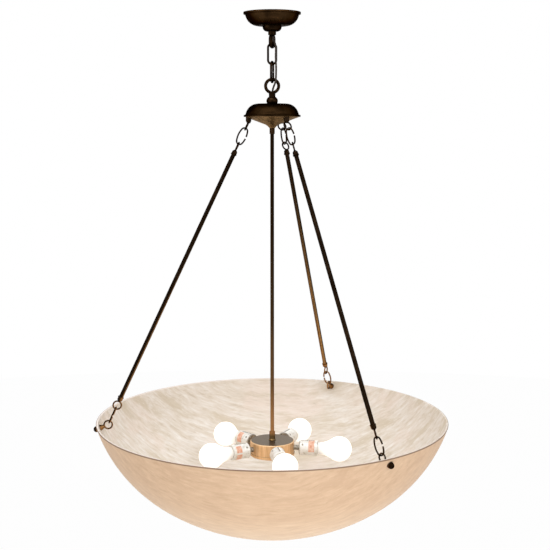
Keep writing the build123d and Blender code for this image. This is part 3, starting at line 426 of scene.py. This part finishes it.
def make_alabaster():
    """Veined stone, cream inside and peach outside, in gently wavy beds."""
    material, tree, shader = new_material("alabaster")
    at = place(tree)
    swirl = add(tree, "TexNoise", Vector=at, Scale=4.5, Detail=3.0, Roughness=0.55).outputs["Color"]
    push = add(tree, "VectorMath", {"operation": "MULTIPLY_ADD"})
    put(tree, push.inputs[0], swirl)
    push.inputs[1].default_value = (BED_WAVE, BED_WAVE, BED_WAVE)
    put(tree, push.inputs[2], at)
    wavy = push.outputs[0]
    cloud = noise(tree, at, 6.0, 4.0, 0.55)

    patchy = ranged(tree, noise(tree, at, 9.0, 3.0, 0.5), 0.38, 0.62, 0.25, 1.0)
    broad, streak, hair = beds(tree, wavy, *INNER_BEDS)
    cream = ramp(tree, streak, [(0.32, (0.665, 0.570, 0.460)), (0.45, (0.770, 0.685, 0.588)),
                                (0.56, (0.815, 0.742, 0.665)), (0.70, (0.90, 0.845, 0.785))])
    cream = mixed(tree, ranged(tree, cloud, 0.46, 0.68, 0.0, 0.60), cream, (0.855, 0.725, 0.640))
    cream = mixed(tree, ranged(tree, broad, 0.50, 0.66, 0.0, 0.80), cream, (0.660, 0.560, 0.430))
    grey = maths(tree, "MULTIPLY", ranged(tree, hair, 0.46, 0.32), patchy)
    cream = mixed(tree, maths(tree, "MULTIPLY", grey, 0.35), cream, (0.56, 0.490, 0.395))
    cream = mixed(tree, ranged(tree, hair, 0.56, 0.72, 0.0, 0.55), cream, (0.92, 0.875, 0.82))

    height = along(tree, at, 2)
    # painted light and shade: the inside lighter low down, darker up towards the rim
    shade = mixed(tree, ranged(tree, height, RIM_Z - SHADED_DEPTH, RIM_Z),
                  (1.04, 1.055, 1.07), (0.95, 0.945, 0.94))
    cream = mixed(tree, 1.0, cream, shade, "MULTIPLY")

    broad, streak, hair = beds(tree, wavy, *OUTER_BEDS)
    peach = ramp(tree, streak, [(0.32, (0.650, 0.435, 0.278)), (0.45, (0.705, 0.487, 0.320)),
                                (0.58, (0.745, 0.520, 0.347)), (0.72, (0.80, 0.580, 0.405))])
    peach = mixed(tree, ranged(tree, broad, 0.48, 0.68, 0.0, 0.65), peach, (0.645, 0.430, 0.278))
    brown = maths(tree, "MULTIPLY", ranged(tree, hair, 0.46, 0.32), patchy)
    peach = mixed(tree, maths(tree, "MULTIPLY", brown, 0.38), peach, (0.58, 0.370, 0.235))
    peach = mixed(tree, ranged(tree, hair, 0.56, 0.72, 0.0, 0.4), peach, (0.83, 0.625, 0.45))

    outside = ranged(tree, towards(tree, at, (0, 0, RIM_Z + INNER_FOCUS)), 0.0, -0.25)
    # painted light: the outside paler towards its foot
    painted_light_low = ranged(tree, height, BOWL_FOOT_Z, RIM_Z - PAINTED_LIGHT_DEPTH, 1.0, 0.0)
    peach = mixed(tree, painted_light_low, peach, (1.19, 1.29, 1.38), "MULTIPLY")
    brim = ranged(tree, from_axis(tree, at), *(RIM_R - width for width in BRIM_WIDTH))
    brim = maths(tree, "MAXIMUM", outside, brim)
    # a dark line just under the rim's top, on its outer face and edge
    rim_dark_line = ranged(tree, height, *(RIM_Z - drop for drop in RIM_LINE_BAND))
    rim_dark_line = maths(tree, "MULTIPLY", rim_dark_line, brim)
    # painted highlight along the rim's top, fading out along x
    rim_highlight = ranged(tree, height, *(RIM_Z - drop for drop in RIM_HIGHLIGHT_BAND))
    rim_highlight = maths(tree, "MULTIPLY", rim_highlight, ranged(tree, along(tree, at, 0), *RIM_HIGHLIGHT_FADE_X, 1.0, 0.0))
    stone = mixed(tree, outside, mixed(tree, rim_highlight, cream, (0.84, 0.755, 0.690)), peach)
    stone = mixed(tree, maths(tree, "MULTIPLY", rim_dark_line, 0.85), stone, (0.20, 0.125, 0.085))
    put(tree, shader.inputs["Base Color"], stone)
    put(tree, shader.inputs["Roughness"], ranged(tree, streak, 0.3, 0.7, 0.42, 0.58))
    shader.inputs["Specular IOR Level"].default_value = 0.12
    bump(tree, shader, mixed(tree, 0.4, streak, hair), 0.0003, 0.3)
    return material


def make_plated_steel():
    """Zinc plated steel with a faint crystal pattern."""
    material, tree, shader = new_material("plated_steel")
    crystal = add(tree, "TexVoronoi", Vector=place(tree), Scale=160.0).outputs["Distance"]
    tone = ramp(tree, crystal, [(0.0, (0.62, 0.59, 0.52)), (0.8, (0.78, 0.75, 0.69))])
    metal(tree, shader, tone, ranged(tree, crystal, 0.0, 0.8, 0.28, 0.45), 0.6)
    return material


def make_shell_aluminium():
    """Satin aluminium of the lamp holders' shells, drawn, with small smudges."""
    material, tree, shader = new_material("shell_aluminium")
    at = place(tree)
    smudge = noise(tree, at, 120.0, 5.0, 0.65)
    grain = noise(tree, at, 900.0, 2.0, 0.6)
    tone = ramp(tree, smudge, [(0.30, (0.55, 0.50, 0.42)), (0.42, (0.80, 0.765, 0.70)),
                               (0.60, (0.90, 0.875, 0.83))])
    metal(tree, shader, tone, ranged(tree, grain, 0.3, 0.7, 0.34, 0.5), 0.35)
    bump(tree, shader, grain, 0.00006, 0.4)
    return material


def make_tarnish():
    """Tarnished metal of the holders' caps, rivets and seams."""
    material, tree, shader = new_material("tarnished_metal")
    at = place(tree)
    spot = noise(tree, at, 260.0, 5.0, 0.65)
    tone = ramp(tree, spot, [(0.32, (0.10, 0.082, 0.060)), (0.50, (0.30, 0.265, 0.21)),
                             (0.68, (0.56, 0.52, 0.45))])
    metal(tree, shader, tone, ranged(tree, spot, 0.3, 0.7, 0.3, 0.5), 0.6)
    bump(tree, shader, spot, 0.00008, 0.4)
    return material


def make_porcelain():
    """Glazed porcelain inside the lamp holders."""
    material, tree, shader = new_material("holder_porcelain")
    speck = noise(tree, place(tree), 240.0, 3.0, 0.6)
    tone = ramp(tree, speck, [(0.3, (0.76, 0.73, 0.67)), (0.6, (0.86, 0.84, 0.79))])
    put(tree, shader.inputs["Base Color"], tone)
    put(tree, shader.inputs["Roughness"], ranged(tree, speck, 0.3, 0.7, 0.12, 0.22))
    return material


def make_paper():
    """Plain salmon paper on a lamp holder, faded in blots."""
    material, tree, shader = new_material("label_paper")
    at = place(tree)
    fibre = noise(tree, at, 700.0, 4.0, 0.65)
    blot = noise(tree, at, 150.0, 4.0, 0.6)
    tone = ramp(tree, blot, [(0.36, (0.72, 0.33, 0.21)), (0.52, (0.83, 0.48, 0.34)),
                             (0.66, (0.88, 0.66, 0.53))])
    tone = mixed(tree, ranged(tree, fibre, 0.5, 0.7, 0.0, 0.3), tone, (0.92, 0.76, 0.68))
    put(tree, shader.inputs["Base Color"], tone)
    shader.inputs["Roughness"].default_value = 0.8
    bump(tree, shader, fibre, 0.00005, 0.5)
    return material


def make_cord_jacket():
    """Dark brown jacket of the supply cord, lightly scuffed."""
    material, tree, shader = new_material("cord_jacket")
    scuff = noise(tree, place(tree), 300.0, 4.0, 0.6)
    tone = ramp(tree, scuff, [(0.35, (0.016, 0.010, 0.006)), (0.7, (0.045, 0.029, 0.019))])
    put(tree, shader.inputs["Base Color"], tone)
    put(tree, shader.inputs["Roughness"], ranged(tree, scuff, 0.3, 0.7, 0.42, 0.6))
    shader.inputs["Specular IOR Level"].default_value = 0.3
    return material


def make_gasket():
    """Brown fibre of the washers at the rim."""
    material, tree, shader = new_material("rim_gasket")
    grain = noise(tree, place(tree), 800.0, 3.0, 0.6)
    tone = ramp(tree, grain, [(0.3, (0.060, 0.036, 0.020)), (0.7, (0.115, 0.072, 0.040))])
    put(tree, shader.inputs["Base Color"], tone)
    shader.inputs["Roughness"].default_value = 0.75
    bump(tree, shader, grain, 0.00008, 0.6)
    return material


def make_lamp_glass():
    """Frosted lamp, lit: full on the globe, dim at its neck."""
    material, tree, shader = new_material("lamp_glass")
    at = place(tree)
    frost = noise(tree, at, 260.0, 3.0, 0.5)
    out = from_axis(tree, at)
    glow = ramp(tree, ranged(tree, out, *NECK_R), [
        (0.0, (0.10, 0.082, 0.062)), (1.0, (1.0, 0.975, 0.93))])
    tone = ramp(tree, frost, [(0.3, (0.88, 0.86, 0.83)), (0.7, (0.94, 0.925, 0.90))])
    put(tree, shader.inputs["Base Color"], tone)
    put(tree, shader.inputs["Emission Color"], glow)
    shader.inputs["Emission Strength"].default_value = LAMP_GLOW
    shader.inputs["Roughness"].default_value = 0.35
    return material


def make_lamp_base():
    """Rubbed bare metal of a lamp's screw base."""
    material, tree, shader = new_material("lamp_base")
    rub = noise(tree, place(tree), 350.0, 3.0, 0.6)
    tone = ramp(tree, rub, [(0.3, (0.66, 0.63, 0.57)), (0.7, (0.80, 0.78, 0.74))])
    metal(tree, shader, tone, ranged(tree, rub, 0.3, 0.7, 0.25, 0.4), 1.0)
    return material


def paint(material, *names):
    """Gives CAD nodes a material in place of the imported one."""
    for name in names:
        mesh_object = nodes[name]
        if not mesh_object.material_slots:
            mesh_object.data.materials.append(material)
        for material_slot in mesh_object.material_slots:
            material_slot.material = material


def numbered(*stems, count):
    """Names with their numbers, from 1 to the count."""
    return [f"{stem}_{number}" for stem in stems for number in range(1, count + 1)]


shell_aluminium = make_shell_aluminium()
tarnish = make_tarnish()
paint(make_bronze(), "canopy_collar", "canopy_loop", "chain_link_upper", "chain_link_lower",
      "hub_loop", "hub_collar", "hub_eyes", "stem_coupling", "rim_eyes", "rim_knobs",
      *numbered("upper_link", "rod_ends", "lower_link", count=3))
paint(make_spun_bronze("canopy_bronze", 1.0), "canopy")
# the dome's copy is darkened twofold as painted shade
paint(make_spun_bronze("dome_bronze_painted_shade", 2.0), "hub_dome")
paint(make_rod_bronze(), *numbered("rod", count=3))
paint(make_stem_bronze(), "stem", "stem_ferrule")
paint(make_hub_brass(), "hub_base")
paint(make_cluster_brass(), "cluster_drum", "cluster_cover", "cluster_cap_nut")
paint(make_alabaster(), "bowl")
paint(make_plated_steel(), "crossbar", "canopy_nipple", "canopy_locknut", "hub_nipple",
      "hub_locknut", "hub_eye_nuts", "cluster_nipple", "cluster_nuts", "socket_nipples")
paint(shell_aluminium, "socket_shells")
paint(tarnish, "socket_caps")
paint(make_porcelain(), "socket_cores")
paint(make_gasket(), "rim_washers_inner", "rim_washers_outer")
paint(make_lamp_base(), *numbered("bulb_base", count=5))
paint(make_lamp_glass(), *numbered("bulb_glass", count=5))


# ---------------------------------------------------------------- mesh helpers
def mesh_piece(name, points, faces, material):
    """A smooth shaded mesh object from points and faces."""
    mesh = bpy.data.meshes.new(name)
    mesh.from_pydata([tuple(point) for point in points], [], faces)
    mesh.materials.append(material)
    mesh.shade_smooth()
    made = bpy.data.objects.new(name, mesh)
    bpy.context.scene.collection.objects.link(made)
    return made


def joined(shapes):
    """Several shapes, each as points and faces, as one."""
    points = []
    faces = []
    for more_points, more_faces in shapes:
        faces += [tuple(corner + len(points) for corner in face) for face in more_faces]
        points += more_points
    return points, faces


def lathe(profile, sides):
    """A closed ring of revolution about Z, from a closed profile of (radius, height)."""
    points = []
    faces = []
    count = len(profile)
    for step in range(sides):
        angle = 2 * math.pi * step / sides
        points += [Vector((r * math.cos(angle), r * math.sin(angle), z)) for r, z in profile]
        for corner in range(count):
            here = step * count
            there = (step + 1) % sides * count
            after = (corner + 1) % count
            faces.append((here + corner, there + corner, there + after, here + after))
    return points, faces


# ---------------------------------------------------------------- supply cord
def cord_line():
    """Points along the cord's own smooth line."""
    curve = bpy.data.curves.new("cord_line", "CURVE")
    curve.dimensions = "3D"
    curve.resolution_u = CORD_STEPS
    spline = curve.splines.new("NURBS")
    spline.points.add(len(CORD_POINTS) - 1)
    for point, at in zip(spline.points, CORD_POINTS):
        point.co = (*at, 1.0)
    spline.order_u = 3
    spline.use_endpoint_u = True
    carrier = bpy.data.objects.new("cord_line", curve)
    mesh = bpy.data.meshes.new_from_object(carrier)
    line = [vertex.co.copy() for vertex in mesh.vertices]
    bpy.data.objects.remove(carrier)
    bpy.data.meshes.remove(mesh)
    bpy.data.curves.remove(curve)
    return line


def cut_line(line, top, foot):
    """The stretch of a falling line between two heights, with its cut ends."""
    stretch = []
    for before, after in zip(line, line[1:]):
        for height in (top, foot):
            if before.z > height > after.z:
                stretch.append(before.lerp(after, (before.z - height) / (before.z - after.z)))
        if foot < after.z < top:
            stretch.append(after)
    return stretch


def cord_tube(name, line, run, material):
    """A closed tube of two twisted cores in one jacket, along a line that starts at run."""
    points = []
    faces = []
    side = Vector((1, 0, 0))
    for index, at in enumerate(line):
        before = line[max(index - 1, 0)]
        after = line[min(index + 1, len(line) - 1)]
        ahead = (after - before).normalized()
        side = (side - ahead * side.dot(ahead)).normalized()
        across = ahead.cross(side)
        run += (at - before).length
        for step in range(CORD_SIDES):
            angle = 2 * math.pi * step / CORD_SIDES
            waist = math.sin(angle - 2 * math.pi * run / CORD_LAY) ** 2
            r = CORD_D / 2 * (1 - CORD_GROOVE * (1 - waist) ** 4)
            points.append(at + r * (math.cos(angle) * side + math.sin(angle) * across))
    for index in range(len(line) - 1):
        here = index * CORD_SIDES
        for step in range(CORD_SIDES):
            after = (step + 1) % CORD_SIDES
            faces.append((here + step, here + after,
                          here + CORD_SIDES + after, here + CORD_SIDES + step))
    faces.append(tuple(range(CORD_SIDES))[::-1])
    faces.append(tuple(range(len(points) - CORD_SIDES, len(points))))
    return mesh_piece(name, points, faces, material), run


def make_supply_cord():
    """Three stretches, cut at the middle of each chain link."""
    jacket = make_cord_jacket()
    line = cord_line()
    cuts = [line[0].z, *LINK_MIDDLE_Z, line[-1].z]
    run = 0.0    # length of cord so far, which keeps the cores' twist going
    for part, place_name in enumerate(("upper", "middle", "lower")):
        stretch = cut_line(line, cuts[part], cuts[part + 1])
        if part == 0:
            stretch.insert(0, line[0])
        if part == 2:
            stretch.append(line[-1])
        piece, run = cord_tube(f"cord_{place_name}", stretch, run, jacket)
        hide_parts(f"supply_cord_{place_name}")
        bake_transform(piece)


make_supply_cord()


# ---------------------------------------------------------------- lamp holder trim
def lamp_matrix(axis):
    """Turns a piece built about +Z so that it lies along a lamp's axis, its +X upwards."""
    out = Vector(axis)
    up = Vector((0, 0, 1))
    turn = Matrix((up, out.cross(up), out)).transposed().to_4x4()
    return Matrix.Translation((0, 0, LAMP_Z)) @ turn


def shell_size(axis):
    """Start, end and radius of the holder's shell along one lamp axis."""
    to_local = lamp_matrix(axis).inverted()
    local = [to_local @ vertex.co for vertex in nodes["socket_shells"].data.vertices]
    near = [point for point in local if point.z > 0 and point.xy.length < CAD_REACH]
    radius = max(point.xy.length for point in near)
    return min(point.z for point in near), max(point.z for point in near), radius


def ring_profile(radius, middle, wire, corners=12):
    """A round bead, half sunk in the surface that it lies on."""
    turn = 2 * math.pi / corners
    return [(radius + wire * math.cos(turn * n), middle + wire * math.sin(turn * n))
            for n in range(corners)]


def patch(radius, proud, low, high, start, end):
    """A thin plate bent round a shell, from start to end degrees and from low to high."""
    steps = max(2, round((end - start) / PATCH_STEP))
    points = []
    for step in range(steps + 1):
        angle = math.radians(start + (end - start) * step / steps)
        spoke = Vector((math.cos(angle), math.sin(angle), 0))
        points += [spoke * (radius + rise) + Vector((0, 0, z))
                   for rise, z in ((0, low), (proud, low), (proud, high), (0, high))]
    faces = [(3, 2, 1, 0), (steps * 4, steps * 4 + 1, steps * 4 + 2, steps * 4 + 3)]
    for step in range(steps):
        for corner in range(4):
            after = (corner + 1) % 4
            here = step * 4
            faces.append((here + corner, here + after, here + 4 + after, here + 4 + corner))
    return points, faces


def rivet(radius, middle, angle):
    """A low round rivet head on a shell."""
    points = []
    faces = []
    sides = RIVET_SIDES
    turn = Matrix.Rotation(math.radians(angle), 3, "Z")
    for spread, rise in RIVET_ROWS:
        for step in range(sides):
            around = 2 * math.pi * step / sides
            flat = Vector((radius + rise * RIVET_HEIGHT, RIVET_R * spread * math.cos(around),
                           middle + RIVET_R * spread * math.sin(around)))
            points.append(turn @ flat)
    for row in range(len(RIVET_ROWS) - 1):
        for step in range(sides):
            after = (step + 1) % sides
            faces.append((row * sides + step, row * sides + after,
                          (row + 1) * sides + after, (row + 1) * sides + step))
    faces.append(tuple(range(sides))[::-1])
    faces.append(tuple(range((len(RIVET_ROWS) - 1) * sides, len(RIVET_ROWS) * sides)))
    return points, faces


def seam(radius, low, high):
    """A folded seam along the shell's top, as a row of stitches."""
    pitch = (high - low) / SEAM_STITCHES
    return [
        patch(radius, SEAM_HEIGHT, low + n * pitch, low + (n + SEAM_FILL) * pitch, *SEAM_ANGLES)
        for n in range(SEAM_STITCHES)
    ]


def make_holder_trim(number, axis, labels, paper):
    """Beads, marks and paper labels of one lamp holder."""
    start, end, radius = shell_size(axis)

    def spot(share):
        """A place along the shell, as a share of its length."""
        return start + share * (end - start)

    beads = [lathe(ring_profile(radius, spot(share), BEAD_R), TRIM_SIDES) for share in BEAD_PLACES]
    marks = [rivet(radius, spot(RIVET_PLACE), angle) for angle in RIVET_ANGLES]
    marks += seam(radius, *map(spot, SEAM_PLACE))
    label = [patch(radius, LABEL_PROUD, *map(spot, LABEL_PLACE), *angles) for angles in labels]
    trim = (
        ("beading", beads, shell_aluminium, "socket_aluminium"),
        ("marks", marks, tarnish, "socket_aluminium"),
        ("label", label, paper, "rim_gasket"),
    )
    for kind, shapes, material, slot in trim:
        piece = mesh_piece(f"holder_{kind}_{number}", *joined(shapes), material)
        if kind != "beading":
            piece.data.shade_flat()
        piece.data.transform(lamp_matrix(axis))
        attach(piece, "hub")


paper = make_paper()
for number, (axis, labels) in enumerate(zip(LAMPS, LABELS), 1):
    make_holder_trim(number, axis, labels, paper)


# ---------------------------------------------------------------- stage, light and camera
FLOOR_Z = BOWL_FOOT_Z - 4.0
FLOOR_R = 20.0
FLOOR_SIDES = 96
AMBIENT = 0.68         # world light on the object
GROUND_SHADE = 0.03    # how much of the floor's own shading shows in the white
MIDDLE = (0, 0, (RIM_Z + 0.2) / 2)    # the point on the pendant's axis that most lights face
# soft round lights: where each is, what it is aimed at, its width and its power in watts
LIGHTS = {
    "key": ((1.6, -2.5, 0.9), MIDDLE, 1.8, 24),
    "top": ((-0.6, -1.2, 1.7), (0, 0, RIM_Z), 1.8, 29),
    "fill": ((-2.3, -1.8, -0.1), MIDDLE, 1.8, 12),
    "back": ((0.5, 2.6, 0.2), MIDDLE, 1.8, 7),
    "under": ((0.3, -1.1, BOWL_FOOT_Z - 0.9), (0, 0, BOWL_FOOT_Z), 1.6, 10),
}


def make_floor():
    """A pale round floor far below the pendant, white to the camera but for its shade."""
    points = [(0, 0, FLOOR_Z)]
    for step in range(FLOOR_SIDES):
        angle = 2 * math.pi * step / FLOOR_SIDES
        points.append((FLOOR_R * math.cos(angle), FLOOR_R * math.sin(angle), FLOOR_Z))
    faces = [(0, 1 + step, 1 + (step + 1) % FLOOR_SIDES) for step in range(FLOOR_SIDES)]
    material, tree, shader = new_material("pale_floor")
    shader.inputs["Base Color"].default_value = (0.9, 0.9, 0.89, 1)
    shader.inputs["Roughness"].default_value = 0.9
    white = add(tree, "Emission", Color=(1, 1, 1, 1), Strength=1.0)
    share = maths(tree, "MULTIPLY", seen_directly(tree), 1 - GROUND_SHADE)
    both = add(tree, "MixShader", Fac=share)
    tree.links.new(shader.outputs[0], both.inputs[1])
    tree.links.new(white.outputs[0], both.inputs[2])
    tree.links.new(both.outputs[0], tree.nodes["Material Output"].inputs["Surface"])
    mesh_piece("floor", points, faces, material)


def seen_directly(tree):
    """1 for rays from the camera, by reflection or through glass, else 0."""
    path = add(tree, "LightPath").outputs
    direct = maths(tree, "MAXIMUM", path["Is Camera Ray"], path["Is Glossy Ray"])
    return maths(tree, "MAXIMUM", direct, path["Is Transmission Ray"])


def make_world():
    """Even white light all round, full white only where it is seen."""
    world = bpy.data.worlds.new("studio")
    world.use_nodes = True
    tree = world.node_tree
    background = tree.nodes["Background"]
    background.inputs["Color"].default_value = (1, 1, 1, 1)
    level = add(tree, "MapRange", Value=seen_directly(tree), To_Min=AMBIENT, To_Max=1.0)
    tree.links.new(level.outputs["Result"], background.inputs["Strength"])
    bpy.context.scene.world = world


def area_light(name, at, aim, size, power):
    """A white disk of light."""
    light = bpy.data.lights.new(name, "AREA")
    light.shape = "DISK"
    light.size = size
    light.energy = power
    lamp = bpy.data.objects.new(name, light)
    lamp.location = at
    lamp.rotation_euler = (Vector(aim) - Vector(at)).to_track_quat("-Z", "Y").to_euler()
    bpy.context.scene.collection.objects.link(lamp)


def make_camera():
    """A camera where the photograph's was."""
    data = bpy.data.cameras.new("photograph")
    data.sensor_width = SENSOR
    data.lens = CAMERA_LENS
    camera = bpy.data.objects.new("photograph", data)
    camera.location = CAMERA_AT
    camera.rotation_euler = (math.pi / 2 - CAMERA_DIP, 0, -CAMERA_TURN)
    bpy.context.scene.collection.objects.link(camera)
    bpy.context.scene.camera = camera


make_floor()
make_world()
for light_name, light_settings in LIGHTS.items():
    area_light(light_name, *light_settings)
make_camera()
bpy.context.scene.view_settings.view_transform = "Standard"
